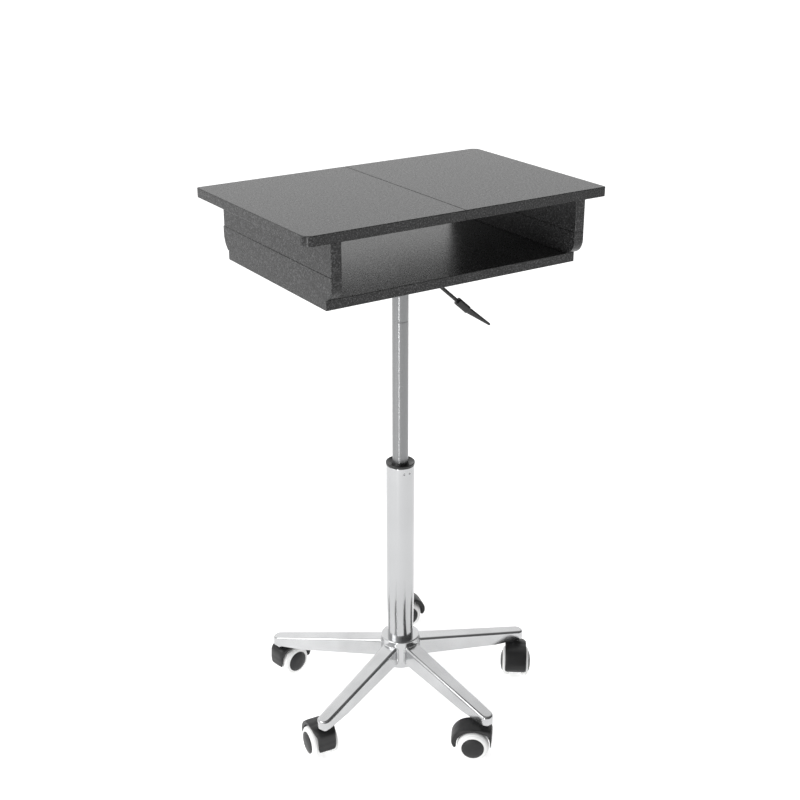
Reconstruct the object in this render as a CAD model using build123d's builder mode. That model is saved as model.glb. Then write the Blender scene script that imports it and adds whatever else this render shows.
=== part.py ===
from build123d import *
import math
import os

# A rolling laptop lectern: a board box with a two-leaf top and an open shelf stands on a gas
# spring column, which rises out of a chromed five-star foot on twin-wheel casters.
# Millimetres, +Z up, +X to the user's right, +Y away from the user.
# The origin is on the floor, in the middle of the whole object's outline.

# ---- Driving dimensions -------------------------------------------------------------------
column_y = 14.0            # the column axis stands this far behind the origin
total_height = 970.0
board_thickness = 16.0
side_thickness = 18.0
seam_gap = 0.6
edge_break = 0.6           # eased edge of every board
dust_gap = 0.05            # free space between parts that only touch

top_width = 555.0
top_depth = 356.0
top_centre_y = column_y - 3.5
top_edge_radius = 1.2
top_big_corner = 14.0
top_small_corner = 4.0

box_width = 472.0          # over the two side boards
side_front_y = column_y - 180.0
upper_side_rear_y = column_y + 166.0
lower_side_rear_y = column_y + 169.0
side_seam_z = 902.0
bottom_board_width = 469.0
bottom_board_front_y = column_y - 161.0
bottom_board_rear_y = column_y + 157.0
bottom_board_z = 847.0
front_curve_height = 25.0
rear_curve_height = 27.0
curve_setback = 1.0        # the side's curved corner ends this far inside the bottom board's edge

tube_radius = 25.0
tube_wall = 2.0
tube_top_z = 477.0
tube_taper_z = 215.0
tube_foot_radius = 22.3
tube_foot_z = 78.0
hub_radius = 35.5
hub_top_z = 131.0
hub_bottom_z = 76.0

spring_radius = 14.0
spring_wall = 2.0
spring_bottom_z = 400.0
spring_top_z = 822.0
spring_groove_z = 743.0
lift_stroke = 265.0
rod_radius = 5.0
valve_radius = 4.0
valve_top_z = 836.1
running_gap = 0.06         # radial clearance of a shaft in its hole

arm_reach = 238.0          # column axis to caster stem
arm_tip_width = 25.0
arm_root_width = 32.0
arm_tip_top_z = 86.4
arm_tip_height = 17.4
arm_root_top_z = 119.0
arm_root_height = 33.0
arm_wall = 2.0
arm_edge_radius = 5.0
arm_headings = {
    "left": 131.5,
    "front_left": 203.5,
    "front_right": 275.5,
    "right": -12.5,
    "rear": 59.5,
}
caster_headings = {
    "left": 11.0,
    "front_left": 84.0,
    "front_right": 142.0,
    "right": -127.0,
    "rear": -14.1,
}

wheel_radius = 28.0
wheel_width = 13.0
wheel_inner_y = 11.5
caster_trail = 21.0
hood_width = 40.0
hood_wall = 2.5
hood_front_corner = 12.0
hood_rear_corner = 5.0
wheel_arch_radius = 29.6
cap_radius = 19.6
axle_radius = 4.0
stem_radius = 5.5

lever_heading = -15.0      # the lever leaves the column a little toward the user
lever_z = 839.4
lever_rod_radius = 3.2
lever_pivot_reach = 30.0
lever_bend_reach = 34.0
lever_knee_reach = 62.0    # the rod eases off a little here on its way to the grip
lever_grip_reach = 101.0
lever_grip_z = 766.2
lever_droop = 43.0         # degrees below the horizontal, beyond the knee

os.makedirs("parts", exist_ok=True)

column_axis = Axis((0, column_y, 0), (0, 0, 1))
column_side = Plane((0, column_y, 0), x_dir=(1, 0, 0), z_dir=(0, -1, 0))


def column_plane(height):
    """A level plane at a height, centred on the column."""
    return Plane((0, column_y, height))


def save(piece, name):
    piece.part.label = name
    export_step(piece.part, f"parts/{name}.step")


# ---- Boards of the table box --------------------------------------------------------------
top_underside_z = total_height - board_thickness
bottom_board_top_z = bottom_board_z + board_thickness
side_centre_x = (box_width - side_thickness) / 2
dowel_radius = 4.0
dowel_length = 30.0
dowel_hole_radius = dowel_radius + dust_gap
dowel_in_top = 10.0
dowel_spots_y = (column_y - 130.0, column_y - 10.0, column_y + 110.0)
glue_dowel_spots_y = (column_y - 90.0, column_y + 70.0)
screw_spots_y = (column_y - 115.0, column_y + 115.0)
screw_shank_radius = 2.5
screw_head_radius = 5.0
screw_length = 38.0
screw_head_height = 3.0
plate_screw_radius = 2.0
plate_screw_depth = 12.0
joining_plate_length = 120.0
joining_plate_width = 30.0
joining_plate_thickness = 2.0
joining_plate_spots_y = (top_centre_y - 110.0, top_centre_y + 110.0)
plate_screw_spots_x = (-45.0, -18.0, 18.0, 45.0)


def tabletop_leaf(side):
    """One leaf of the top: side is -1 for the left leaf and 1 for the right one."""
    leaf_width = (top_width - seam_gap) / 2
    leaf_centre_x = side * (top_width - leaf_width) / 2
    with BuildPart() as leaf:
        with BuildSketch(Plane.XY.offset(top_underside_z)) as outline:
            with Locations((leaf_centre_x, top_centre_y)):
                Rectangle(leaf_width, top_depth)
            outer = outline.vertices().sort_by(Axis.X)
            outer = outer[:2] if side < 0 else outer[-2:]
            front, rear = outer.sort_by(Axis.Y)
            fillet(front, top_big_corner if side < 0 else top_small_corner)
            rear = outline.vertices().sort_by_distance(rear)[0]
            fillet(rear, top_small_corner if side < 0 else top_big_corner)
        extrude(amount=board_thickness)
        fillet(leaf.faces().sort_by(Axis.Z)[-1].edges(), top_edge_radius)
        chamfer(leaf.faces().sort_by(Axis.Z)[0].edges(), edge_break)
        with Locations(*[(side * side_centre_x, y, top_underside_z) for y in dowel_spots_y]):
            Cylinder(dowel_hole_radius, 2 * (dowel_in_top + dust_gap), mode=Mode.SUBTRACT)
        for x in plate_screw_spots_x:
            if x * side > 0:
                with Locations(*[(x, y, top_underside_z) for y in joining_plate_spots_y]):
                    Cylinder(plate_screw_radius, 2 * plate_screw_depth, mode=Mode.SUBTRACT)
    return leaf


def side_upper(side):
    """The straight upper half of a side, with its dowel holes."""
    height = top_underside_z - side_seam_z - 2 * dust_gap
    depth = upper_side_rear_y - side_front_y
    middle_y = (upper_side_rear_y + side_front_y) / 2
    with BuildPart() as board:
        with Locations((side * side_centre_x, middle_y, side_seam_z + dust_gap + height / 2)):
            Box(side_thickness, depth, height)
        chamfer(board.edges(), edge_break)
        with Locations(*[(side * side_centre_x, y, top_underside_z) for y in dowel_spots_y]):
            Cylinder(dowel_hole_radius, 2 * (dowel_length - dowel_in_top + dust_gap),
                     mode=Mode.SUBTRACT)
        with Locations(*[(side * side_centre_x, y, side_seam_z) for y in glue_dowel_spots_y]):
            Cylinder(dowel_hole_radius, dowel_length + 2 * dust_gap, mode=Mode.SUBTRACT)
    return board


def side_lower(side):
    """The lower half of a side: its bottom corners curve in to meet the bottom board."""
    low = bottom_board_top_z + dust_gap
    high = side_seam_z - dust_gap
    plane = Plane((side * side_centre_x, 0, 0), x_dir=(0, 1, 0), z_dir=(1, 0, 0))
    with BuildPart() as board:
        with BuildSketch(plane):
            with BuildLine():
                front_start = (side_front_y, low + front_curve_height)
                front_end = (bottom_board_front_y + curve_setback, low)
                rear_start = (lower_side_rear_y, low + rear_curve_height)
                rear_end = (bottom_board_rear_y - curve_setback, low)
                Line((side_front_y, high), front_start)
                TangentArc(front_start, front_end, tangent=(0, -1))
                Line(front_end, rear_end)
                TangentArc(rear_start, rear_end, tangent=(0, -1))
                Line(rear_start, (lower_side_rear_y, high))
                Line((lower_side_rear_y, high), (side_front_y, high))
            make_face()
        extrude(amount=side_thickness / 2, both=True)
        chamfer(board.faces().filter_by(Axis.X).edges(), edge_break)
        with Locations(*[(side * side_centre_x, y, side_seam_z) for y in glue_dowel_spots_y]):
            Cylinder(dowel_hole_radius, dowel_length + 2 * dust_gap, mode=Mode.SUBTRACT)
        screw_depth = screw_length - board_thickness
        with Locations(*[(side * side_centre_x, y, bottom_board_top_z) for y in screw_spots_y]):
            Cylinder(screw_shank_radius, 2 * screw_depth, mode=Mode.SUBTRACT)
    return board


for side, word in ((-1, "left"), (1, "right")):
    save(tabletop_leaf(side), f"tabletop_{word}")
    save(side_upper(side), f"side_upper_{word}")
    save(side_lower(side), f"side_lower_{word}")

mount_plate_length = 150.0
mount_plate_width = 120.0
mount_plate_thickness = 2.5
mount_bolt_spacing_x = 124.0
mount_bolt_spacing_y = 92.0
mount_bolt_radius = 3.0
mount_bolt_head_radius = 5.5
mount_bolt_head_height = 3.0
mount_bolt_depth = 12.0

with BuildPart() as bottom_board:
    bottom_depth = bottom_board_rear_y - bottom_board_front_y
    bottom_middle_y = (bottom_board_rear_y + bottom_board_front_y) / 2
    with Locations((0, bottom_middle_y, bottom_board_z + board_thickness / 2)):
        Box(bottom_board_width, bottom_depth, board_thickness)
    chamfer(bottom_board.edges(), edge_break)
    for side in (-1, 1):
        with Locations(*[(side * side_centre_x, y, bottom_board_z) for y in screw_spots_y]):
            Cylinder(screw_head_radius + dust_gap, 2 * (screw_head_height + dust_gap),
                     mode=Mode.SUBTRACT)
            Cylinder(screw_shank_radius, 2 * board_thickness, mode=Mode.SUBTRACT)
    with Locations((0, column_y, bottom_board_z)):
        with GridLocations(mount_bolt_spacing_x, mount_bolt_spacing_y, 2, 2):
            Cylinder(mount_bolt_radius, 2 * mount_bolt_depth, mode=Mode.SUBTRACT)
save(bottom_board, "bottom_board")

# ---- Fittings that hold the boards together ------------------------------------------------
with BuildPart() as board_dowels:
    for side in (-1, 1):
        top_dowel_z = top_underside_z + dowel_in_top - dowel_length / 2
        with Locations(*[(side * side_centre_x, y, top_dowel_z) for y in dowel_spots_y]):
            Cylinder(dowel_radius, dowel_length)
        with Locations(*[(side * side_centre_x, y, side_seam_z) for y in glue_dowel_spots_y]):
            Cylinder(dowel_radius, dowel_length)
    chamfer(board_dowels.edges().filter_by(GeomType.CIRCLE), edge_break)
save(board_dowels, "board_dowels")

plate_middle_z = top_underside_z - dust_gap - joining_plate_thickness / 2
with BuildPart() as joining_plates:
    with Locations(*[(0, y, plate_middle_z) for y in joining_plate_spots_y]):
        Box(joining_plate_length, joining_plate_width, joining_plate_thickness)
    fillet(joining_plates.edges().filter_by(Axis.Z), 6.0)
    for x in plate_screw_spots_x:
        with Locations(*[(x, y, plate_middle_z) for y in joining_plate_spots_y]):
            Cylinder(plate_screw_radius + running_gap, 2 * joining_plate_thickness,
                     mode=Mode.SUBTRACT)
save(joining_plates, "joining_plates")

plate_screw_head_radius = 3.8
plate_screw_head_height = 1.8
with BuildPart() as board_screws:
    # Four long screws come up through the bottom board into the lower side boards.
    for side in (-1, 1):
        for y in screw_spots_y:
            head_middle = bottom_board_z + dust_gap + screw_head_height / 2
            with Locations((side * side_centre_x, y, head_middle)):
                Cylinder(screw_head_radius, screw_head_height)
            with Locations((side * side_centre_x, y, bottom_board_z + screw_length / 2 + 1.0)):
                Cylinder(screw_shank_radius, screw_length - 2.0)
            with Locations((side * side_centre_x, y, bottom_board_z)):
                Box(6.0, 1.2, 3.0, mode=Mode.SUBTRACT)
                Box(1.2, 6.0, 3.0, mode=Mode.SUBTRACT)
    # Eight pan-head screws hold the joining plates up to the two leaves.
    plate_face_z = top_underside_z - dust_gap - joining_plate_thickness
    for x in plate_screw_spots_x:
        for y in joining_plate_spots_y:
            with Locations((x, y, plate_face_z - dust_gap - plate_screw_head_height / 2)):
                Cylinder(plate_screw_head_radius, plate_screw_head_height)
            with Locations((x, y, plate_face_z + plate_screw_depth / 2)):
                Cylinder(plate_screw_radius, plate_screw_depth + 2 * dust_gap)
save(board_screws, "board_screws")

# ---- Mounting plate, its bolts and the release lever ----------------------------------------
socket_outer_radius = 20.0
lever_pivot_radius = 2.5
socket_low_z = 795.0
bracket_floor_z = 812.0
bracket_floor_thickness = 3.0
bracket_half_width = 22.0
bracket_rear_reach = -32.0
bracket_front_reach = 37.0
mount_plate_middle_z = bottom_board_z - dust_gap - mount_plate_thickness / 2

with BuildPart() as mounting_plate:
    with Locations((0, column_y, mount_plate_middle_z)):
        Box(mount_plate_length, mount_plate_width, mount_plate_thickness)
    fillet(mounting_plate.edges().filter_by(Axis.Z), 12.0)
    # Two walls and a floor hang under the plate, turned toward the lever's side.
    wall_height = mount_plate_middle_z - bracket_floor_z
    wall_length = bracket_front_reach - bracket_rear_reach
    wall_middle = (bracket_front_reach + bracket_rear_reach) / 2
    with Locations(Location((0, column_y, bracket_floor_z), (0, 0, lever_heading))):
        with Locations((wall_middle, bracket_half_width, wall_height / 2),
                       (wall_middle, -bracket_half_width, wall_height / 2)):
            Box(wall_length, mount_plate_thickness, wall_height)
        with Locations((wall_middle, 0, bracket_floor_thickness / 2)):
            Box(wall_length, 2 * bracket_half_width, bracket_floor_thickness)
    with BuildSketch(column_plane(socket_low_z)):
        Circle(socket_outer_radius)
    extrude(amount=bracket_floor_z - socket_low_z + dust_gap)
    with BuildSketch(column_plane(socket_low_z - 1.0)):
        Circle(spring_radius + dust_gap)
    extrude(amount=bracket_floor_z + bracket_floor_thickness - socket_low_z + 2.0,
            mode=Mode.SUBTRACT)
    with Locations(Location((0, column_y, 0), (0, 0, lever_heading))):
        with Locations((lever_pivot_reach, 0, lever_z)):
            Cylinder(lever_pivot_radius + running_gap, 3 * bracket_half_width,
                     rotation=(90, 0, 0), mode=Mode.SUBTRACT)
    with Locations((0, column_y, mount_plate_middle_z)):
        with GridLocations(mount_bolt_spacing_x, mount_bolt_spacing_y, 2, 2):
            Cylinder(mount_bolt_radius + running_gap, 2 * mount_plate_thickness,
                     mode=Mode.SUBTRACT)
save(mounting_plate, "mounting_plate")

with BuildPart() as plate_bolts:
    head_top_z = bottom_board_z - mount_plate_thickness - 2 * dust_gap
    with Locations((0, column_y, head_top_z - mount_bolt_head_height / 2)):
        with GridLocations(mount_bolt_spacing_x, mount_bolt_spacing_y, 2, 2):
            Cylinder(mount_bolt_head_radius, mount_bolt_head_height)
    fillet(plate_bolts.faces().sort_by(Axis.Z)[:4].edges(), 1.2)
    shank_length = mount_bolt_depth + mount_plate_thickness
    with Locations((0, column_y, head_top_z + shank_length / 2)):
        with GridLocations(mount_bolt_spacing_x, mount_bolt_spacing_y, 2, 2):
            Cylinder(mount_bolt_radius, shank_length)
    with Locations((0, column_y, head_top_z - mount_bolt_head_height)):
        with GridLocations(mount_bolt_spacing_x, mount_bolt_spacing_y, 2, 2):
            Box(6.4, 1.2, 2.4, mode=Mode.SUBTRACT)
            Box(1.2, 6.4, 2.4, mode=Mode.SUBTRACT)
save(plate_bolts, "plate_bolts")

lever_out = Vector(1, 0, 0).rotate(Axis.Z, lever_heading)
lever_across = Vector(0, 1, 0).rotate(Axis.Z, lever_heading)
lever_side = Plane((0, column_y, 0), x_dir=lever_out, z_dir=-lever_across)
rod_end_reach = -6.0
grip_overlap = 22.0


def below_level(angle):
    """The direction in the lever's plane that points outward and down by an angle."""
    return lever_out * math.cos(math.radians(angle)) - Vector(0, 0, math.sin(math.radians(angle)))


column_top = Vector(0, column_y, lever_z)
rod_start = column_top + lever_out * rod_end_reach
rod_bend = column_top + lever_out * lever_bend_reach
rod_direction = below_level(lever_droop)
grip_start = (Vector(0, column_y, lever_grip_z)) + lever_out * lever_grip_reach
knee_back = (lever_grip_reach - lever_knee_reach) / math.cos(math.radians(lever_droop))
rod_knee = grip_start - rod_direction * knee_back
rod_finish = grip_start + rod_direction * grip_overlap
bend_radius = 10.0

with BuildPart() as lever_rod:
    with BuildLine() as lever_path:
        FilletPolyline(rod_start, rod_bend, rod_knee, rod_finish, radius=bend_radius)
    with BuildSketch(Plane(lever_path.line @ 0, z_dir=lever_path.line % 0)):
        Circle(lever_rod_radius)
    sweep()
    # The cross pin is welded to the rod and turns in the two walls of the mounting plate.
    with Locations(Location((0, column_y, 0), (0, 0, lever_heading))):
        with Locations((lever_pivot_reach, 0, lever_z)):
            Cylinder(lever_pivot_radius, 2 * bracket_half_width + 8.0, rotation=(90, 0, 0))
save(lever_rod, "lever_rod")

# The grip is a moulded handle: a block that takes the rod, and a paddle that thins to its tip.
grip_length = 27.2
grip_width = 15.0
grip_height = 11.5
paddle_length = 50.4
paddle_direction = below_level(36.8)
tip_width = 9.0
tip_height = 3.0
block_end = grip_start + rod_direction * grip_length
paddle_end = block_end + paddle_direction * paddle_length
with BuildPart() as lever_grip:
    with BuildSketch(Plane(grip_start, x_dir=lever_across, z_dir=rod_direction)):
        RectangleRounded(grip_width, grip_height, 3.0)
    extrude(amount=grip_length)
    chamfer(lever_grip.faces().sort_by(Axis.Z)[-1].edges(), 1.0)
    with BuildSketch(Plane(block_end - rod_direction * 1.0, x_dir=lever_across,
                           z_dir=rod_direction)):
        RectangleRounded(grip_width - 0.4, grip_height - 0.4, 2.8)
    with BuildSketch(Plane(paddle_end, x_dir=lever_across, z_dir=paddle_direction)):
        RectangleRounded(tip_width, tip_height, 1.4)
    loft()
    with BuildSketch(Plane(grip_start - rod_direction, z_dir=rod_direction)):
        Circle(lever_rod_radius + dust_gap)
    extrude(amount=grip_overlap + 1.0 + dust_gap, mode=Mode.SUBTRACT)
save(lever_grip, "lever_grip")

# ---- Gas spring -----------------------------------------------------------------------------
spring_bore = spring_radius - spring_wall
spring_cavity_top_z = 714.0
guide_thickness = 14.0
piston_low_z = spring_bottom_z + guide_thickness + 3.0
piston_height = 12.0

with BuildPart() as gas_cylinder:
    with BuildSketch(column_side):
        with BuildLine():
            groove = 0.35
            Polyline(
                (0, spring_cavity_top_z),
                (spring_bore, spring_cavity_top_z),
                (spring_bore, spring_bottom_z + guide_thickness),
                (rod_radius + running_gap, spring_bottom_z + guide_thickness),
                (rod_radius + running_gap, spring_bottom_z),
                (spring_radius - 1.5, spring_bottom_z),
                (spring_radius, spring_bottom_z + 1.5),
                (spring_radius, spring_groove_z - 1.2),
                (spring_radius - groove, spring_groove_z),
                (spring_radius, spring_groove_z + 1.2),
                (spring_radius, spring_top_z - 1.5),
                (spring_radius - 1.5, spring_top_z),
                (0, spring_top_z),
                close=True,
            )
        make_face()
    revolve(axis=column_axis)
    valve_bore_depth = 24.0
    with BuildSketch(column_plane(spring_top_z)):
        Circle(valve_radius + running_gap)
    extrude(amount=-valve_bore_depth, mode=Mode.SUBTRACT)
save(gas_cylinder, "gas_cylinder")

valve_length = 28.0
with BuildPart() as valve_pin:
    with BuildSketch(column_plane(valve_top_z - valve_length)):
        Circle(valve_radius)
    extrude(amount=valve_length)
    chamfer(valve_pin.faces().sort_by(Axis.Z)[-1].edges(), 0.8)
save(valve_pin, "valve_pin")

foot_plate_thickness = 3.0
bearing_low_z = tube_foot_z + foot_plate_thickness + dust_gap
bearing_height = 6.0
rod_foot_z = 70.0
clip_groove_z = tube_foot_z - 2.2
shoulder_z = bearing_low_z + bearing_height + dust_gap
with BuildPart() as piston_rod:
    with BuildSketch(column_side):
        with BuildLine():
            Polyline(
                (0, rod_foot_z),
                (rod_radius - 1.0, rod_foot_z),
                (rod_radius - 1.0, shoulder_z),
                (rod_radius, shoulder_z),
                (rod_radius, piston_low_z),
                (spring_bore - 0.1, piston_low_z),
                (spring_bore - 0.1, piston_low_z + piston_height),
                (0, piston_low_z + piston_height),
                close=True,
            )
        make_face()
    revolve(axis=column_axis)
    # The circlip's groove, below the foot plate.
    with BuildSketch(column_plane(clip_groove_z)):
        Circle(rod_radius)
        Circle(rod_radius - 1.8, mode=Mode.SUBTRACT)
    extrude(amount=1.6, mode=Mode.SUBTRACT)
save(piston_rod, "piston_rod")

with BuildPart() as rod_clip:
    with BuildSketch(column_plane(clip_groove_z + dust_gap)):
        Circle(8.0)
        Circle(rod_radius - 1.8 + dust_gap, mode=Mode.SUBTRACT)
        with Locations((6.0, 0)):
            Rectangle(6.0, 4.0, mode=Mode.SUBTRACT)
    extrude(amount=1.5)
save(rod_clip, "rod_clip")

# The thrust bearing is two washers with a caged ring of balls between them.
with BuildPart() as thrust_bearing:
    for low in (bearing_low_z, bearing_low_z + bearing_height - 1.5):
        with BuildSketch(column_plane(low)):
            Circle(12.0)
            Circle(rod_radius - 1.0 + 0.1, mode=Mode.SUBTRACT)
        extrude(amount=1.5)
    ball_radius = (bearing_height - 3.0) / 2
    with Locations((0, column_y, bearing_low_z + bearing_height / 2)):
        with PolarLocations(8.2, 9):
            Cylinder(ball_radius, 2 * ball_radius)
save(thrust_bearing, "thrust_bearing")

# ---- Column tube and its guide bush ----------------------------------------------------------
with BuildPart() as column_tube:
    foot_inner = tube_foot_radius - tube_wall
    with BuildSketch(column_side):
        with BuildLine():
            Polyline(
                (rod_radius + 0.5, tube_foot_z),
                (tube_foot_radius, tube_foot_z),
                (tube_foot_radius + 1.0, hub_top_z),
                (tube_radius, tube_taper_z),
                (tube_radius, tube_top_z),
                (tube_radius - tube_wall, tube_top_z),
                (tube_radius - tube_wall, tube_taper_z),
                (foot_inner, hub_top_z),
                (foot_inner, tube_foot_z + foot_plate_thickness),
                (rod_radius + 0.5, tube_foot_z + foot_plate_thickness),
                close=True,
            )
        make_face()
    revolve(axis=column_axis)
    outer_rim = column_tube.edges().filter_by(GeomType.CIRCLE)
    outer_rim = outer_rim.filter_by(lambda rim: abs(rim.center().Z - tube_top_z) < 0.01)
    fillet(outer_rim.sort_by(SortBy.RADIUS)[-1], 0.7)
    # Pairs of punched dimples lock the bush in the tube.
    dimple_z = tube_top_z - 10.0
    dimple_headings = (-106.4, -81.8, 73.6, 98.2)
    dimple_radius = 2.6
    for heading in dimple_headings:
        out = Vector(1, 0, 0).rotate(Axis.Z, heading)
        spot = Vector(0, column_y, dimple_z) + out * (tube_radius + dimple_radius - 1.1)
        with Locations(spot):
            Sphere(dimple_radius, mode=Mode.SUBTRACT)
save(column_tube, "column_tube")

bush_rim_radius = 25.5
bush_rim_height = 5.0
bush_sleeve_length = 60.0
bush_bore = spring_radius + running_gap
with BuildPart() as column_bush:
    with BuildSketch(column_side):
        with BuildLine():
            Polyline(
                (bush_bore, tube_top_z - bush_sleeve_length),
                (tube_radius - tube_wall - dust_gap, tube_top_z - bush_sleeve_length),
                (tube_radius - tube_wall - dust_gap, tube_top_z + dust_gap),
                (bush_rim_radius - 0.4, tube_top_z + dust_gap),
                (bush_rim_radius, tube_top_z + 1.0),
                (bush_rim_radius, tube_top_z + bush_rim_height - 0.8),
                (bush_rim_radius - 0.8, tube_top_z + bush_rim_height),
                (bush_rim_radius - 1.6, tube_top_z + bush_rim_height - 0.3),
                (bush_bore + 1.0, tube_top_z + 1.0),
                (bush_bore, tube_top_z + 0.4),
                close=True,
            )
        make_face()
    revolve(axis=column_axis)
save(column_bush, "column_bush")

# ---- Five-star foot ----------------------------------------------------------------------------
with BuildPart() as base_hub:
    with BuildSketch(column_side):
        with BuildLine():
            Polyline(
                (tube_foot_radius + dust_gap, hub_bottom_z),
                (hub_radius, hub_bottom_z),
                (hub_radius, hub_top_z),
                (tube_foot_radius + 1.0 + dust_gap, hub_top_z),
                (tube_foot_radius + dust_gap, tube_foot_z),
                close=True,
            )
        make_face()
    revolve(axis=column_axis)
    fillet(base_hub.edges().filter_by(GeomType.CIRCLE).sort_by(SortBy.RADIUS)[-2:], 2.5)
save(base_hub, "base_hub")

arm_root_x = hub_radius + dust_gap


def arm_body(clear):
    """A solid in the arm's shape, with its top and plan shrunk by a wall."""
    near = -arm_root_width
    far = arm_reach + arm_tip_width
    slope = (arm_root_top_z - arm_tip_top_z) / (arm_reach - arm_root_x)
    far_top = arm_tip_top_z - slope * (far - arm_reach) - clear
    floor_drop = 30.0 if clear else 0.0
    with BuildPart() as body:
        with BuildSketch(Plane.XZ):
            Polygon(
                (near, arm_root_top_z + slope * (arm_root_x - near) - clear),
                (far, far_top),
                (far, arm_tip_top_z - arm_tip_height - floor_drop),
                (arm_reach - 2 * arm_tip_width, arm_tip_top_z - arm_tip_height - floor_drop),
                (arm_root_x, arm_root_top_z - arm_root_height - floor_drop),
                (near, arm_root_top_z - arm_root_height - floor_drop),
                align=None,
            )
        extrude(amount=arm_root_width, both=True)
        # In plan the flanks are straight and narrow to a round nose.
        with BuildSketch(Plane.XY):
            Circle(arm_root_width / 2 - clear)
            with Locations((arm_reach, 0)):
                Circle(arm_tip_width / 2 - clear)
            make_hull()
        extrude(amount=2 * arm_root_top_z, mode=Mode.INTERSECT)
        fillet(body.faces().sort_by(Axis.Z)[-1].edges(), arm_edge_radius - clear)
    return body


arm_outer = arm_body(0.0)
arm_hollow = arm_body(arm_wall)
socket_radius = 8.5
socket_bore = stem_radius + running_gap
socket_low = arm_tip_top_z - arm_tip_height
stem_top_z = arm_tip_top_z - arm_wall - 1.5
with BuildPart() as arm_blank:
    add(arm_outer.part)
    add(arm_hollow.part, mode=Mode.SUBTRACT)
    with BuildSketch(Plane.XY.offset(socket_low)):
        with Locations((arm_reach, 0)):
            Circle(socket_radius)
    extrude(amount=arm_tip_height - arm_wall)
    with BuildSketch(Plane.XY.offset(socket_low - 1.0)):
        with Locations((arm_reach, 0)):
            Circle(socket_bore)
    extrude(amount=stem_top_z + 0.5 - socket_low + 1.0, mode=Mode.SUBTRACT)
    # The root is cut round, to lie against the hub.
    with BuildSketch(Plane.XY):
        Circle(arm_root_x)
    extrude(amount=2 * arm_root_top_z, mode=Mode.SUBTRACT)

for word, heading in arm_headings.items():
    with BuildPart() as base_arm:
        with Locations(Location((0, column_y, 0), (0, 0, heading))):
            add(arm_blank.part)
    save(base_arm, f"base_arm_{word}")


def stem_spot(word):
    """The caster stem's place on the floor plan, for the arm of that name."""
    return Vector(0, column_y, 0) + Vector(arm_reach, 0, 0).rotate(Axis.Z, arm_headings[word])


# ---- Casters, drawn with the stem at the origin and the wheels trailing along +X ----------------
stem_low_z = 40.0
stem_collar_z = 64.6
with BuildPart() as stem_blank:
    with BuildSketch(Plane.XZ):
        with BuildLine():
            Polyline(
                (0, stem_low_z),
                (stem_radius - 0.8, stem_low_z),
                (stem_radius, stem_low_z + 0.8),
                (stem_radius, stem_collar_z),
                (stem_radius + 2.5, stem_collar_z),
                (stem_radius + 2.5, socket_low - dust_gap),
                (stem_radius, socket_low - dust_gap),
                (stem_radius, stem_top_z - 1.0),
                (stem_radius - 1.0, stem_top_z),
                (0, stem_top_z),
                close=True,
            )
        make_face()
    revolve(axis=Axis.Z)

with BuildPart() as caster_stems:
    for word in arm_headings:
        with Locations(stem_spot(word)):
            add(stem_blank.part)
save(caster_stems, "caster_stems")

axle_x = caster_trail
axle_z = wheel_radius
hood_outline = (
    (-8.0, 23.0),
    (-12.0, 42.0),
    (-14.5, 58.0),
    (-12.5, 61.5),
    (0.0, 63.0),
    (18.0, 63.6),
    (31.0, 63.0),
    (43.0, 59.5),
    (53.5, 50.0),
    (59.0, 41.0),
    (60.0, 33.0),
    (52.5, 22.5),
)
hood_hollow = (
    (-5.0, 18.0),
    (-9.4, 42.0),
    (-11.6, 57.2),
    (-9.0, 59.2),
    (0.0, 60.4),
    (18.0, 61.0),
    (30.6, 60.4),
    (41.6, 57.2),
    (51.4, 48.6),
    (56.4, 40.4),
    (57.2, 34.0),
    (47.0, 18.0),
)
boss_half_width = 9.0
web_half_width = 4.0


def hood_body(outline, clear):
    """The hood's bulk, or with a wall of clear, its hollow: a side profile cut to a plan."""
    rear_end = max(x for x, z in outline)
    front_end = min(x for x, z in outline)
    with BuildPart() as body:
        with BuildSketch(Plane.XZ):
            with BuildLine():
                front = Polyline(*outline[:4])
                crown = Spline(*outline[3:])
                Line(crown @ 1, front @ 0)
            make_face()
        extrude(amount=hood_width, both=True)
        with BuildSketch(Plane.XY) as plan:
            with Locations(((rear_end + front_end) / 2, 0)):
                Rectangle(rear_end - front_end + 0.2, hood_width - 2 * clear)
            corners = plan.vertices().sort_by(Axis.X)
            fillet(corners[:2], hood_front_corner - clear)
            fillet(corners[2:], hood_rear_corner - clear)
        extrude(amount=100.0, mode=Mode.INTERSECT)
    return body


hood_outer = hood_body(hood_outline, 0.0)
hood_cavity = hood_body(hood_hollow, hood_wall)
with BuildPart() as hood_blank:
    add(hood_outer.part)
    add(hood_cavity.part, mode=Mode.SUBTRACT)
    with BuildSketch(Plane.XZ):
        with Locations((axle_x, axle_z)):
            Circle(wheel_arch_radius)
    extrude(amount=hood_width, both=True, mode=Mode.SUBTRACT)
    # Inside, a web carries the axle boss and the stem boss.
    with BuildSketch(Plane.XZ):
        with BuildLine():
            Polyline((-10, 40), (-10, 58), (0, 61.5), (18, 62), (31, 61.5), (42, 58), (33, 22),
                     (10, 20), close=True)
        make_face()
    extrude(amount=web_half_width, both=True)
    with BuildSketch(Plane.XZ):
        with Locations((axle_x, axle_z)):
            Circle(10.0)
    extrude(amount=boss_half_width, both=True)
    with BuildSketch(Plane.XY.offset(stem_low_z - 3.0)):
        Circle(stem_radius + 2.6)
    extrude(amount=stem_collar_z - 3.0 - stem_low_z + 2.0)
    with BuildSketch(Plane.XY.offset(stem_low_z - dust_gap)):
        Circle(stem_radius + running_gap)
    extrude(amount=40.0, mode=Mode.SUBTRACT)
    with BuildSketch(Plane.XZ):
        with Locations((axle_x, axle_z)):
            Circle(axle_radius + dust_gap)
    extrude(amount=hood_width, both=True, mode=Mode.SUBTRACT)

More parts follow.
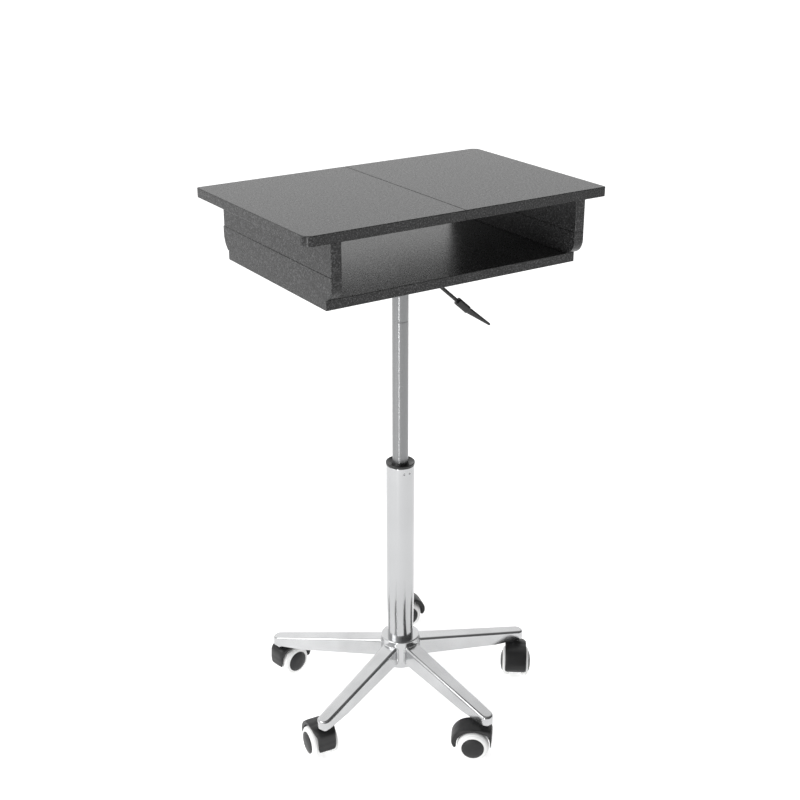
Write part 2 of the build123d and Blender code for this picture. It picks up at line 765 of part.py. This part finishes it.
wheel_outer_y = wheel_inner_y + wheel_width
axle_half_length = wheel_outer_y - 2.0
with BuildPart() as axle_blank:
    with Locations((axle_x, 0, axle_z)):
        Cylinder(axle_radius, 2 * axle_half_length, rotation=(90, 0, 0))
    chamfer(axle_blank.edges().filter_by(GeomType.CIRCLE), 0.6)

wheel_axis = Axis((axle_x, 0, axle_z), (0, 1, 0))
wheel_section = Plane((axle_x, 0, axle_z), x_dir=(0, 0, 1), z_dir=(1, 0, 0))


def wheel_blank(side):
    """A white tyred wheel: x in the section is the radius and y runs along the axle."""
    with BuildPart() as wheel:
        with BuildSketch(wheel_section):
            with BuildLine():
                bore = axle_radius + running_gap
                Polyline(
                    (bore, -side * wheel_inner_y),
                    (wheel_radius - 1.5, -side * wheel_inner_y),
                    (wheel_radius, -side * (wheel_inner_y + 2.0)),
                    (wheel_radius, -side * (wheel_outer_y - 6.0)),
                    (wheel_radius - 1.2, -side * (wheel_outer_y - 3.0)),
                    (wheel_radius - 4.2, -side * (wheel_outer_y - 0.8)),
                    (cap_radius + 0.1, -side * wheel_outer_y),
                    (cap_radius + 0.1, -side * (wheel_outer_y - 1.6)),
                    (bore, -side * (wheel_outer_y - 1.6)),
                    close=True,
                )
            make_face()
        revolve(axis=wheel_axis)
    return wheel


def cap_blank(side):
    """The wheel's black domed cap, let into the wheel's outer face."""
    dome = 3.6
    rim_y = -side * (wheel_outer_y - 1.6 + dust_gap)
    edge_y = -side * (wheel_outer_y + 0.4)
    crown_y = -side * (wheel_outer_y + dome)
    with BuildPart() as cap:
        with BuildSketch(wheel_section):
            with BuildLine():
                Line((0, rim_y), (cap_radius, rim_y))
                Line((cap_radius, rim_y), (cap_radius, edge_y))
                Spline((cap_radius, edge_y), (cap_radius * 0.75, -side * (wheel_outer_y + 2.2)),
                       (0, crown_y))
                Line((0, crown_y), (0, rim_y))
            make_face()
        revolve(axis=wheel_axis)
    return cap


caster_pieces = {
    "hood": hood_blank,
    "axle": axle_blank,
    "wheel_a": wheel_blank(-1),
    "wheel_b": wheel_blank(1),
    "cap_a": cap_blank(-1),
    "cap_b": cap_blank(1),
}
for word, heading in caster_headings.items():
    spot = stem_spot(word)
    for piece_name, blank in caster_pieces.items():
        with BuildPart() as caster_piece:
            with Locations(Location((spot.X, spot.Y, 0), (0, 0, heading))):
                add(blank.part)
        save(caster_piece, f"caster_{word}_{piece_name}")
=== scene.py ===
import math

import bpy
import numpy as np
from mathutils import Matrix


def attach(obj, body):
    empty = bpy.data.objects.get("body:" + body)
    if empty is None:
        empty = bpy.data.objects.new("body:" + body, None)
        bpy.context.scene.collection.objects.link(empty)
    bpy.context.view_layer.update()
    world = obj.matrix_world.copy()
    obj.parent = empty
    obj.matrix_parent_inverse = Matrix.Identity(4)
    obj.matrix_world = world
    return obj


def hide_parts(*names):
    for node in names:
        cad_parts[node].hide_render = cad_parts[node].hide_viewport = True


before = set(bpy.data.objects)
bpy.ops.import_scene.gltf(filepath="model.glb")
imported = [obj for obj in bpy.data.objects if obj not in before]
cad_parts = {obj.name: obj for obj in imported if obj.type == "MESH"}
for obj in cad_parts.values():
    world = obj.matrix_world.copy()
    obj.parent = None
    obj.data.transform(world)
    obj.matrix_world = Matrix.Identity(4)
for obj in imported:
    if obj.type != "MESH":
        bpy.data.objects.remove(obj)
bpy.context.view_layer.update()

caster_names = ("left", "front_left", "front_right", "right", "rear")


# ---- Star foot: hub and five arms -------------------------------------------------------------
# Five channels are pressed from 2 mm steel sheet, welded round a turned hub,
# polished and then chrome plated as one piece.
def new_finish(name, colour, roughness, metallic=0.0):
    """A material with one principled shader; returns it with its node tree, shader and place."""
    finish = bpy.data.materials.new(name)
    finish.use_nodes = True
    tree = finish.node_tree
    tree.nodes.clear()
    output = tree.nodes.new("ShaderNodeOutputMaterial")
    shader = tree.nodes.new("ShaderNodeBsdfPrincipled")
    tree.links.new(shader.outputs["BSDF"], output.inputs["Surface"])
    shader.inputs["Base Color"].default_value = (*colour, 1.0)
    shader.inputs["Roughness"].default_value = roughness
    shader.inputs["Metallic"].default_value = metallic
    place = tree.nodes.new("ShaderNodeTexCoord").outputs["Object"]
    return finish, tree, shader, place


def stretched(tree, place, scale):
    """The place with each axis scaled by its own factor."""
    mapping = tree.nodes.new("ShaderNodeMapping")
    mapping.inputs["Scale"].default_value = scale
    tree.links.new(place, mapping.inputs["Vector"])
    return mapping.outputs["Vector"]


def noise(tree, place, scale, detail=3.0, roughness=0.55):
    """Cloudy noise from 0 to 1 at a number of cycles per metre."""
    node = tree.nodes.new("ShaderNodeTexNoise")
    node.inputs["Scale"].default_value = scale
    node.inputs["Detail"].default_value = detail
    node.inputs["Roughness"].default_value = roughness
    tree.links.new(place, node.inputs["Vector"])
    return node.outputs["Fac"]


def graded(tree, value, *stops):
    """A colour ramp over a value; each stop is a position and a grey level or a colour."""
    ramp = tree.nodes.new("ShaderNodeValToRGB")
    elements = ramp.color_ramp.elements
    while len(elements) < len(stops):
        elements.new(0.5)
    for element, (position, colour) in zip(elements, stops):
        element.position = position
        if isinstance(colour, (int, float)):
            colour = (colour, colour, colour)
        element.color = (*colour, 1.0)
    tree.links.new(value, ramp.inputs["Fac"])
    return ramp.outputs["Color"]


def raised(tree, shader, height, strength, distance):
    """Bump from a height value, with its depth in metres."""
    bump = tree.nodes.new("ShaderNodeBump")
    bump.inputs["Strength"].default_value = strength
    bump.inputs["Distance"].default_value = distance
    tree.links.new(height, bump.inputs["Height"])
    tree.links.new(bump.outputs["Normal"], shader.inputs["Normal"])


def brushed(tree, shader, along):
    """Fine grooves run round the upright axis, so that the gloss spreads up and down it."""
    tangent = tree.nodes.new("ShaderNodeTangent")
    tangent.direction_type = "RADIAL"
    tangent.axis = "Z"
    tree.links.new(tangent.outputs["Tangent"], shader.inputs["Tangent"])
    shader.inputs["Anisotropic"].default_value = along
    shader.inputs["Anisotropic Rotation"].default_value = 0.25


def dress(finish, *names):
    """Gives CAD nodes one finish in place of the one they came with."""
    for name in names:
        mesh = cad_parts[name].data
        mesh.materials.clear()
        mesh.materials.append(finish)


foot_chrome, tree, shader, place = new_finish("foot_chrome", (0.55, 0.555, 0.56), 0.16, 1.0)
polish = noise(tree, place, 60.0, 4.0)
tree.links.new(graded(tree, polish, (0.3, 0.13), (0.75, 0.24)), shader.inputs["Roughness"])
tree.links.new(graded(tree, noise(tree, place, 9.0), (0.3, (0.47, 0.473, 0.478)),
                      (0.7, (0.60, 0.604, 0.61))), shader.inputs["Base Color"])
raised(tree, shader, noise(tree, place, 240.0, 2.0), 0.04, 0.0006)
dress(foot_chrome, "base_hub", *(f"base_arm_{name}" for name in caster_names))


def carried(name, path, across, up, widths, heights, square):
    """A skin on a grid: row i lies round path[i] in the plane of across[i] and up[i].

    The path runs the way that across crossed with up does, so that the faces look outward.

    Its outline is a superellipse: across is half the width times cos a to the power 2/square,
    up is half the height times sin a to the same power, each with the sign of its cosine or
    sine, for a going once round. A square of 2 gives an ellipse, and more gives a rounded
    rectangle. The first and last rows may shrink to a point and close the skin.
    """
    around = np.linspace(0.0, 2.0 * np.pi, 56, endpoint=False)
    bend = 2.0 / (np.zeros((len(path), 1)) + square)
    flat = np.sign(np.cos(around)) * np.abs(np.cos(around)) ** bend / 2
    tall = np.sign(np.sin(around)) * np.abs(np.sin(around)) ** bend / 2
    points = (path[:, None, :]
              + (widths[:, None] * flat)[:, :, None] * across[:, None, :]
              + (heights[:, None] * tall)[:, :, None] * up[:, None, :])
    rows, columns = points.shape[:2]
    row = np.arange(rows - 1)[:, None] * columns
    here = np.arange(columns)[None, :]
    following = (here + 1) % columns
    faces = np.stack([row + here, row + following, row + columns + following,
                      row + columns + here], axis=-1).reshape(-1, 4)
    mesh = bpy.data.meshes.new(name)
    mesh.from_pydata(points.reshape(-1, 3).tolist(), [], faces.tolist())
    mesh.shade_smooth()
    piece = bpy.data.objects.new(name, mesh)
    bpy.context.scene.collection.objects.link(piece)
    return piece


# ---- Weld beads ---------------------------------------------------------------------------------
# A thin bead of weld joins each arm to the hub, up one flank, over the top and down the other.
# It was laid in short overlapping puddles and then plated with the foot, so it stays rippled.
column_y = 0.014
hub_radius = 0.0355
arm_headings = {"left": 131.5, "front_left": 203.5, "front_right": 275.5, "right": -12.5,
                "rear": 59.5}
bead_flank = 0.0158
bead_low = 0.090
bead_top = 0.1187
bead_corner = 0.006
bead_size = 0.0030
bead_rows = 260
puddle_pitch = 0.0021
hand_sway = 0.0137
along = np.linspace(0.0, 1.0, bead_rows)
rise = bead_top - bead_low - bead_corner
bend_length = bead_corner * np.pi / 2
level = 2 * (bead_flank - bead_corner)
marks = np.cumsum([0.0, rise, bend_length, level, bend_length, rise])
run = along * marks[-1]
first_turn = np.clip((run - marks[1]) / bead_corner, 0.0, np.pi / 2)
second_turn = np.clip((run - marks[3]) / bead_corner, 0.0, np.pi / 2)
side_way = (-bead_flank + bead_corner * (1 - np.cos(first_turn))
            + np.clip(run - marks[2], 0.0, level) + bead_corner * np.sin(second_turn))
height = (bead_low + np.clip(run, 0.0, rise) + bead_corner * np.sin(first_turn)
          - bead_corner * (1 - np.cos(second_turn)) - np.clip(run - marks[4], 0.0, rise))
ripple = bead_size * (1.0 + 0.10 * np.sin(2 * np.pi * run / puddle_pitch)
                      + 0.06 * np.sin(2 * np.pi * run / hand_sway + 1.1))
ripple[[0, -1]] = 0.0
for name, heading in arm_headings.items():
    turn = math.radians(heading)
    outward = np.sqrt(hub_radius ** 2 - side_way ** 2)
    path = np.stack([outward * math.cos(turn) - side_way * math.sin(turn),
                     column_y + outward * math.sin(turn) + side_way * math.cos(turn),
                     height], axis=1)
    way = np.gradient(path, axis=0)
    way /= np.linalg.norm(way, axis=1, keepdims=True)
    face_out = path - np.array([0.0, column_y, 0.0])
    face_out[:, 2] = 0.0
    face_out /= np.linalg.norm(face_out, axis=1, keepdims=True)
    across = np.cross(face_out, way)
    across /= np.linalg.norm(across, axis=1, keepdims=True)
    bead = carried(f"weld_bead_{name}", path, across, face_out, ripple, ripple, 2.0)
    bead.data.materials.append(foot_chrome)
    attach(bead, "base")

# ---- Caster stems -----------------------------------------------------------------------------
# Each caster turns on an 11 mm steel stem with a collar, pressed into the end of its arm.
# The stems are turned steel with a thin zinc plating.
turned_steel, tree, shader, place = new_finish("turned_steel", (0.62, 0.62, 0.63), 0.3, 1.0)
rings = noise(tree, stretched(tree, place, (30.0, 30.0, 2600.0)), 1.0, 2.0)
tree.links.new(graded(tree, rings, (0.3, 0.22), (0.7, 0.42)), shader.inputs["Roughness"])
raised(tree, shader, rings, 0.15, 0.0002)
dress(turned_steel, "caster_stems", "piston_rod", "rod_clip", "thrust_bearing", "valve_pin",
      *(f"caster_{name}_axle" for name in caster_names))

# ---- Wheel caps -------------------------------------------------------------------------------
# The domed cap pressed into each wheel is moulded in black nylon with a fine spark-eroded
# grain, and its gloss varies where it has been rubbed.
black_nylon, tree, shader, place = new_finish("black_nylon", (0.015, 0.015, 0.0155), 0.42)
shader.inputs["Specular IOR Level"].default_value = 0.36
grain = noise(tree, place, 1500.0, 2.0)
tree.links.new(graded(tree, noise(tree, place, 40.0, 5.0), (0.25, (0.010, 0.010, 0.0105)),
                      (0.8, (0.021, 0.021, 0.0215))), shader.inputs["Base Color"])
tree.links.new(graded(tree, noise(tree, place, 90.0, 4.0), (0.3, 0.34), (0.8, 0.52)),
               shader.inputs["Roughness"])
raised(tree, shader, grain, 0.22, 0.0002)
for name in caster_names:
    dress(black_nylon, f"caster_{name}_cap_a", f"caster_{name}_cap_b")

# ---- Caster hoods -----------------------------------------------------------------------------
# The hood is one moulding in the caps' black nylon: a smooth shell that bows round the wheels
# from its low rear to its low front, with a web inside that carries the boss for the axle.
arm_reach = 0.238
caster_headings = {"left": 11.0, "front_left": 84.0, "front_right": 142.0, "right": -127.0,
                   "rear": -14.1}
axle_x = 0.021
axle_z = 0.028
arch_radius = 0.0294
hood_width = 0.040
rear_low = -9.0
front_low = 191.0
round_axle = np.linspace(front_low, rear_low, 121)
hood_radius = np.interp(round_axle,
                        [-9, 7, 19, 34, 45, 55, 74, 95, 121, 133, 140, 148, 157, 175, 191],
                        [0.0332, 0.0390, 0.0402, 0.0396, 0.0388, 0.0381, 0.0360, 0.0353, 0.0400,
                         0.0440, 0.0436, 0.0396, 0.0356, 0.0323, 0.0318])
smooth = np.hanning(9) / np.hanning(9).sum()
hood_radius = np.convolve(np.pad(hood_radius, 4, mode="edge"), smooth, mode="valid")
rear_rounding = 10.0
front_rounding = 22.0
ends = np.minimum((round_axle - rear_low) / rear_rounding, (front_low - round_axle) / front_rounding)
ends = np.clip(ends, 0.0, 1.0)
hood_widths = hood_width * (0.70 + 0.30 * np.sqrt(1.0 - (1.0 - ends) ** 2))
hood_depths = (hood_radius - arch_radius) * np.minimum(1.0, 0.5 + ends * 2.0)
hood_square = np.interp(round_axle, [-9, 30, 110, 135, 191], [4.0, 5.0, 5.0, 2.7, 2.7])[:, None]
hood_widths *= np.interp(round_axle, [118, 134, 145, 191], [1.0, 0.90, 0.84, 0.84])
hood_widths[[0, -1]] = 0.0
hood_depths[[0, -1]] = 0.0
inner_rows = 9
boss_way = np.linspace(-0.009, 0.009, inner_rows)[[0, 0, 1, 3, 4, 5, 7, 8, 8]]
boss_size = np.full(inner_rows, 0.020)
boss_size[[0, -1]] = 0.0
web_way = np.linspace(0.006, 0.0325, inner_rows)
web_width = np.linspace(0.022, 0.034, inner_rows)
web_depth = np.full(inner_rows, 0.008)
web_setback = 0.004
outward_angle = np.radians(round_axle)
hood_middle = arch_radius + (hood_radius - arch_radius) / 2
for name in caster_names:
    stem_turn = math.radians(arm_headings[name])
    turn = math.radians(caster_headings[name])
    ahead = np.array([math.cos(turn), math.sin(turn), 0.0])
    athwart = np.array([-math.sin(turn), math.cos(turn), 0.0])
    rising = np.array([0.0, 0.0, 1.0])
    axle = (np.array([arm_reach * math.cos(stem_turn), column_y + arm_reach * math.sin(stem_turn),
                      axle_z]) + axle_x * ahead)
    radial = (np.cos(outward_angle)[:, None] * ahead + np.sin(outward_angle)[:, None] * rising)
    hood = carried(f"caster_{name}_hood_shell", axle + hood_middle[:, None] * radial,
                   np.repeat(athwart[None, :], len(radial), axis=0), radial,
                   hood_widths, hood_depths, hood_square)
    boss = carried(f"caster_{name}_axle_boss", axle + boss_way[:, None] * athwart,
                   np.repeat(rising[None, :], inner_rows, axis=0),
                   np.repeat(ahead[None, :], inner_rows, axis=0), boss_size, boss_size, 2.0)
    web = carried(f"caster_{name}_web", axle + web_way[:, None] * rising - web_setback * ahead,
                  np.repeat(ahead[None, :], inner_rows, axis=0),
                  np.repeat(athwart[None, :], inner_rows, axis=0), web_width, web_depth, 5.0)
    for piece in (hood, boss, web):
        piece.data.materials.append(black_nylon)
        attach(piece, f"caster_{name}")
    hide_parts(f"caster_{name}_hood")

# ---- Caster wheels ----------------------------------------------------------------------------
# Each wheel is white polyurethane moulded on a nylon core, soft enough for a hard floor.
# The tread picks up a little grey dust.
white_tread, tree, shader, place = new_finish("white_tread", (0.86, 0.86, 0.855), 0.38)
tree.links.new(graded(tree, noise(tree, place, 35.0, 5.0), (0.25, (0.80, 0.80, 0.79)),
                      (0.6, (0.90, 0.90, 0.895))), shader.inputs["Base Color"])
tree.links.new(graded(tree, noise(tree, place, 120.0, 3.0), (0.3, 0.3), (0.8, 0.46)),
               shader.inputs["Roughness"])
raised(tree, shader, noise(tree, place, 900.0, 2.0), 0.06, 0.0002)
for name in caster_names:
    dress(white_tread, f"caster_{name}_wheel_a", f"caster_{name}_wheel_b")

# ---- Column tube ------------------------------------------------------------------------------
# The 50 mm tube is drawn steel, necked down to fit the hub and plated bright.
# Punched dimples near its top hold the guide bush.
tube_chrome, tree, shader, place = new_finish("tube_chrome", (0.47, 0.475, 0.48), 0.12, 1.0)
drawn = noise(tree, stretched(tree, place, (420.0, 420.0, 5.0)), 1.0, 3.0)
tree.links.new(graded(tree, drawn, (0.3, 0.12), (0.75, 0.2)), shader.inputs["Roughness"])
tree.links.new(graded(tree, noise(tree, place, 7.0), (0.3, (0.44, 0.444, 0.45)),
                      (0.7, (0.50, 0.504, 0.51))), shader.inputs["Base Color"])
raised(tree, shader, drawn, 0.03, 0.0004)
brushed(tree, shader, 0.6)
dress(tube_chrome, "column_tube")

# ---- Gas spring cylinder ----------------------------------------------------------------------
# The 28 mm cylinder is ground and dull chromed so that it slides in the bush,
# with a shallow rolled groove near the top.
ground_chrome, tree, shader, place = new_finish("ground_chrome", (0.265, 0.268, 0.272), 0.3, 1.0)
ground = noise(tree, stretched(tree, place, (90.0, 90.0, 1800.0)), 1.0, 3.0)
tree.links.new(graded(tree, ground, (0.3, 0.26), (0.75, 0.36)), shader.inputs["Roughness"])
raised(tree, shader, ground, 0.05, 0.0002)
brushed(tree, shader, 0.9)
dress(ground_chrome, "gas_cylinder")

# ---- Guide bush -------------------------------------------------------------------------------
# The bush that guides the cylinder is moulded in black acetal and pressed into the tube.
# It is glossier than the casters where the cylinder rubs it.
black_acetal, tree, shader, place = new_finish("black_acetal", (0.010, 0.010, 0.0105), 0.3)
tree.links.new(graded(tree, noise(tree, place, 60.0, 4.0), (0.25, (0.008, 0.008, 0.0085)),
                      (0.8, (0.016, 0.016, 0.0165))), shader.inputs["Base Color"])
tree.links.new(graded(tree, noise(tree, place, 110.0, 3.0), (0.3, 0.24), (0.8, 0.42)),
               shader.inputs["Roughness"])
raised(tree, shader, noise(tree, place, 1300.0, 2.0), 0.15, 0.0002)
dress(black_acetal, "column_bush")

# ---- Moulded lever grip -----------------------------------------------------------------------
# The grip is moulded over the lever's rod in the bush's black acetal: a rounded block, then a
# paddle for the fingers that starts a little narrower than the block and thins to a blunt tip.
lever_turn = math.radians(-15.0)
outward_way = np.array([math.cos(lever_turn), math.sin(lever_turn), 0.0])
sideways = np.array([-math.sin(lever_turn), math.cos(lever_turn), 0.0])
upright = np.array([0.0, 0.0, 1.0])
grip_reach = np.array([0.1010, 0.1209, 0.16125])
grip_height = np.array([0.7662, 0.7477, 0.7175])
grip_share = np.array([0.0, 0.35, 1.0])
step = np.concatenate([[0.0], np.linspace(0.0, 0.03, 8), np.linspace(0.04, 0.31, 14),
                       np.linspace(0.32, 0.40, 12), np.linspace(0.42, 0.96, 30),
                       np.linspace(0.965, 1.0, 8), [1.0]])
spine_reach = np.interp(step, grip_share, grip_reach)
spine_height = np.interp(step, grip_share, grip_height)
spine = (np.array([0.0, column_y, 0.0]) + spine_reach[:, None] * outward_way
         + spine_height[:, None] * upright)
front_round = np.sqrt(1.0 - (1.0 - np.clip(step / 0.03, 0.0, 1.0)) ** 2)
tip_round = np.sqrt(1.0 - np.clip((step - 0.965) / 0.035, 0.0, 1.0) ** 2)
shoulder = np.clip((step - 0.32) / 0.03, 0.0, 1.0)
shoulder = shoulder * shoulder * (3.0 - 2.0 * shoulder)
paddle = np.clip((step - 0.36) / 0.64, 0.0, 1.0)
grip_width = ((1.0 - shoulder) * 0.0150 + shoulder * (0.0126 - 0.0034 * paddle)) \
    * (0.78 + 0.22 * front_round) * (0.55 + 0.45 * tip_round)
grip_depth = ((1.0 - shoulder) * 0.0138 + shoulder * (0.0112 - 0.0070 * paddle)) \
    * (0.78 + 0.22 * front_round) * (0.45 + 0.55 * tip_round)
grip_width[[0, -1]] = 0.0
grip_depth[[0, -1]] = 0.0
tilt = np.radians(np.interp(step, [0.0, 0.3, 0.4, 1.0], [43.0, 43.0, 36.8, 36.8]))
lift = np.sin(tilt)[:, None] * outward_way + np.cos(tilt)[:, None] * upright
grip = carried("lever_grip_moulded", spine, np.repeat(sideways[None, :], len(step), axis=0),
               lift, grip_width, grip_depth, 3.4)
grip.data.materials.append(black_acetal)
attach(grip, "lever")
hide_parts("lever_grip")

# ---- Mounting plate, its bolts and the lever rod ------------------------------------------------
# A pressed plate with a folded bracket carries the spring's socket and the lever's pivot.
# All of it is black powder coated steel, with the coat's orange-peel texture.
powder_coat, tree, shader, place = new_finish("powder_coat", (0.025, 0.025, 0.026), 0.45)
tree.links.new(graded(tree, noise(tree, place, 30.0, 4.0), (0.25, (0.010, 0.010, 0.0105)),
                      (0.8, (0.022, 0.022, 0.0225))), shader.inputs["Base Color"])
raised(tree, shader, noise(tree, place, 700.0, 2.0), 0.25, 0.0003)
dress(powder_coat, "mounting_plate", "plate_bolts", "lever_rod")

# ---- Boards -------------------------------------------------------------------------------------
# All boards are particle board faced and edged with dark grey melamine.
# The facing has a pearl texture: fine raised grains, each a little lighter or darker.
melamine, tree, shader, place = new_finish("dark_melamine", (0.04, 0.04, 0.041), 0.45)
shader.inputs["Specular IOR Level"].default_value = 0.3
pearl = noise(tree, place, 430.0, 3.0, 0.65)
flecks = graded(tree, pearl, (0.38, (0.007, 0.007, 0.0072)), (0.52, (0.019, 0.019, 0.0194)),
                (0.66, (0.090, 0.090, 0.092)))
tree.links.new(flecks, shader.inputs["Base Color"])
tree.links.new(graded(tree, noise(tree, place, 300.0, 2.0), (0.3, 0.23), (0.75, 0.38)),
               shader.inputs["Roughness"])
raised(tree, shader, pearl, 0.3, 0.0005)
dress(melamine, "tabletop_left", "tabletop_right", "side_upper_left", "side_upper_right",
      "side_lower_left", "side_lower_right", "bottom_board")

# ---- Board fittings -------------------------------------------------------------------------------
# Zinc joining plates and screws, and beech dowels inside the joints.
# Only the plates and screw heads show, from below.
zinc, tree, shader, place = new_finish("bright_zinc", (0.58, 0.585, 0.6), 0.32, 1.0)
spangle = noise(tree, place, 300.0, 3.0)
tree.links.new(graded(tree, spangle, (0.3, (0.5, 0.505, 0.52)), (0.7, (0.68, 0.685, 0.7))),
               shader.inputs["Base Color"])
tree.links.new(graded(tree, spangle, (0.3, 0.24), (0.75, 0.42)), shader.inputs["Roughness"])
dress(zinc, "joining_plates", "board_screws")
beech, tree, shader, place = new_finish("beech_dowel", (0.6, 0.43, 0.26), 0.6)
growth = noise(tree, stretched(tree, place, (700.0, 700.0, 40.0)), 1.0, 3.0)
tree.links.new(graded(tree, growth, (0.3, (0.5, 0.34, 0.19)), (0.7, (0.66, 0.49, 0.31))),
               shader.inputs["Base Color"])
dress(beech, "board_dowels")

# ---- Floor, light and camera --------------------------------------------------------------------
# A plain pale floor, a soft surround that is brighter on the left and behind, and two soft boxes.
# The camera looks down a little from the front left.
floor_half = 40.0
floor_mesh = bpy.data.meshes.new("studio_floor")
floor_mesh.from_pydata([(-floor_half, -floor_half, 0.0), (floor_half, -floor_half, 0.0),
                        (floor_half, floor_half, 0.0), (-floor_half, floor_half, 0.0)],
                       [], [(0, 1, 2, 3)])
studio_floor = bpy.data.objects.new("studio_floor", floor_mesh)
bpy.context.scene.collection.objects.link(studio_floor)
pale, tree, shader, place = new_finish("pale_floor", (0.9, 0.9, 0.9), 0.9)
tree.links.new(graded(tree, noise(tree, place, 3.0), (0.0, 0.9), (1.0, 0.92)),
               shader.inputs["Base Color"])
shader.inputs["Specular IOR Level"].default_value = 0.0
shader.inputs["Emission Color"].default_value = (1.0, 1.0, 1.0, 1.0)
shader.inputs["Emission Strength"].default_value = 0.62
floor_mesh.materials.append(pale)

surround = bpy.data.worlds.new("studio_surround")
surround.use_nodes = True
bpy.context.scene.world = surround
tree = surround.node_tree
tree.nodes.clear()
world_output = tree.nodes.new("ShaderNodeOutputWorld")
backdrop = tree.nodes.new("ShaderNodeBackground")
towards = tree.nodes.new("ShaderNodeTexCoord").outputs["Generated"]


def nearness(tree, towards, way):
    """From 0 directly opposite to 1 directly along a way: half of 1 plus the dot product."""
    likeness = tree.nodes.new("ShaderNodeVectorMath")
    likeness.operation = "DOT_PRODUCT"
    likeness.inputs[1].default_value = way
    tree.links.new(towards, likeness.inputs[0])
    spread = tree.nodes.new("ShaderNodeMapRange")
    spread.inputs["From Min"].default_value = -1.0
    spread.inputs["From Max"].default_value = 1.0
    tree.links.new(likeness.outputs["Value"], spread.inputs["Value"])
    return spread.outputs["Result"]


left_glow = graded(tree, nearness(tree, towards, (-0.84, 0.40, 0.36)),
                   (0.0, 0.10), (0.5, 0.20), (0.7, 0.45), (0.85, 1.0), (1.0, 1.0))
rear_glow = graded(tree, nearness(tree, towards, (0.51, 0.77, 0.38)),
                   (0.78, 0.0), (0.95, 0.85), (1.0, 1.0))
both = tree.nodes.new("ShaderNodeVectorMath")
both.operation = "ADD"
tree.links.new(left_glow, both.inputs[0])
tree.links.new(rear_glow, both.inputs[1])
tree.links.new(both.outputs["Vector"], backdrop.inputs["Color"])
plain_white = tree.nodes.new("ShaderNodeBackground")
plain_white.inputs["Color"].default_value = (1.0, 1.0, 1.0, 1.0)
seen_or_lit = tree.nodes.new("ShaderNodeMixShader")
seen = tree.nodes.new("ShaderNodeLightPath").outputs["Is Camera Ray"]
tree.links.new(seen, seen_or_lit.inputs["Fac"])
tree.links.new(backdrop.outputs["Background"], seen_or_lit.inputs[1])
tree.links.new(plain_white.outputs["Background"], seen_or_lit.inputs[2])
tree.links.new(seen_or_lit.outputs["Shader"], world_output.inputs["Surface"])


def soft_box(name, spot, aim, size, power):
    """A square area light at a spot, turned to face its aim; its own face stays out of view."""
    light = bpy.data.lights.new(name, "AREA")
    light.shape = "RECTANGLE"
    light.size, light.size_y = size
    light.energy = power
    lamp = bpy.data.objects.new(name, light)
    lamp.location = spot
    away = np.array(spot) - np.array(aim)
    level = math.hypot(away[0], away[1])
    lamp.rotation_euler = (math.atan2(level, away[2]), 0.0, math.atan2(away[1], away[0]) + math.pi / 2)
    lamp.visible_camera = False
    bpy.context.scene.collection.objects.link(lamp)


soft_box("key_box", (-2.4, 0.2, 2.2), (0.0, 0.0, 0.6), (1.6, 1.6), 26.0)
soft_box("strip_box", (-1.87, -1.50, 0.36), (0.0, 0.0, 0.4), (0.16, 0.66), 9.0)

view_azimuth = math.radians(-33.13)
view_elevation = math.radians(22.59)
view_distance = 2.2739
aim = (-0.0005, 0.0143, 0.5976)
camera = bpy.data.cameras.new("camera")
camera.lens = 59.58
camera.sensor_width = 36.0
camera_object = bpy.data.objects.new("camera", camera)
camera_object.location = (
    aim[0] + view_distance * math.cos(view_elevation) * math.sin(view_azimuth),
    aim[1] - view_distance * math.cos(view_elevation) * math.cos(view_azimuth),
    aim[2] + view_distance * math.sin(view_elevation),
)
camera_object.rotation_euler = (math.pi / 2 - view_elevation, 0.0, view_azimuth)
bpy.context.scene.collection.objects.link(camera_object)
bpy.context.scene.camera = camera_object
bpy.context.scene.view_settings.view_transform = "Standard"
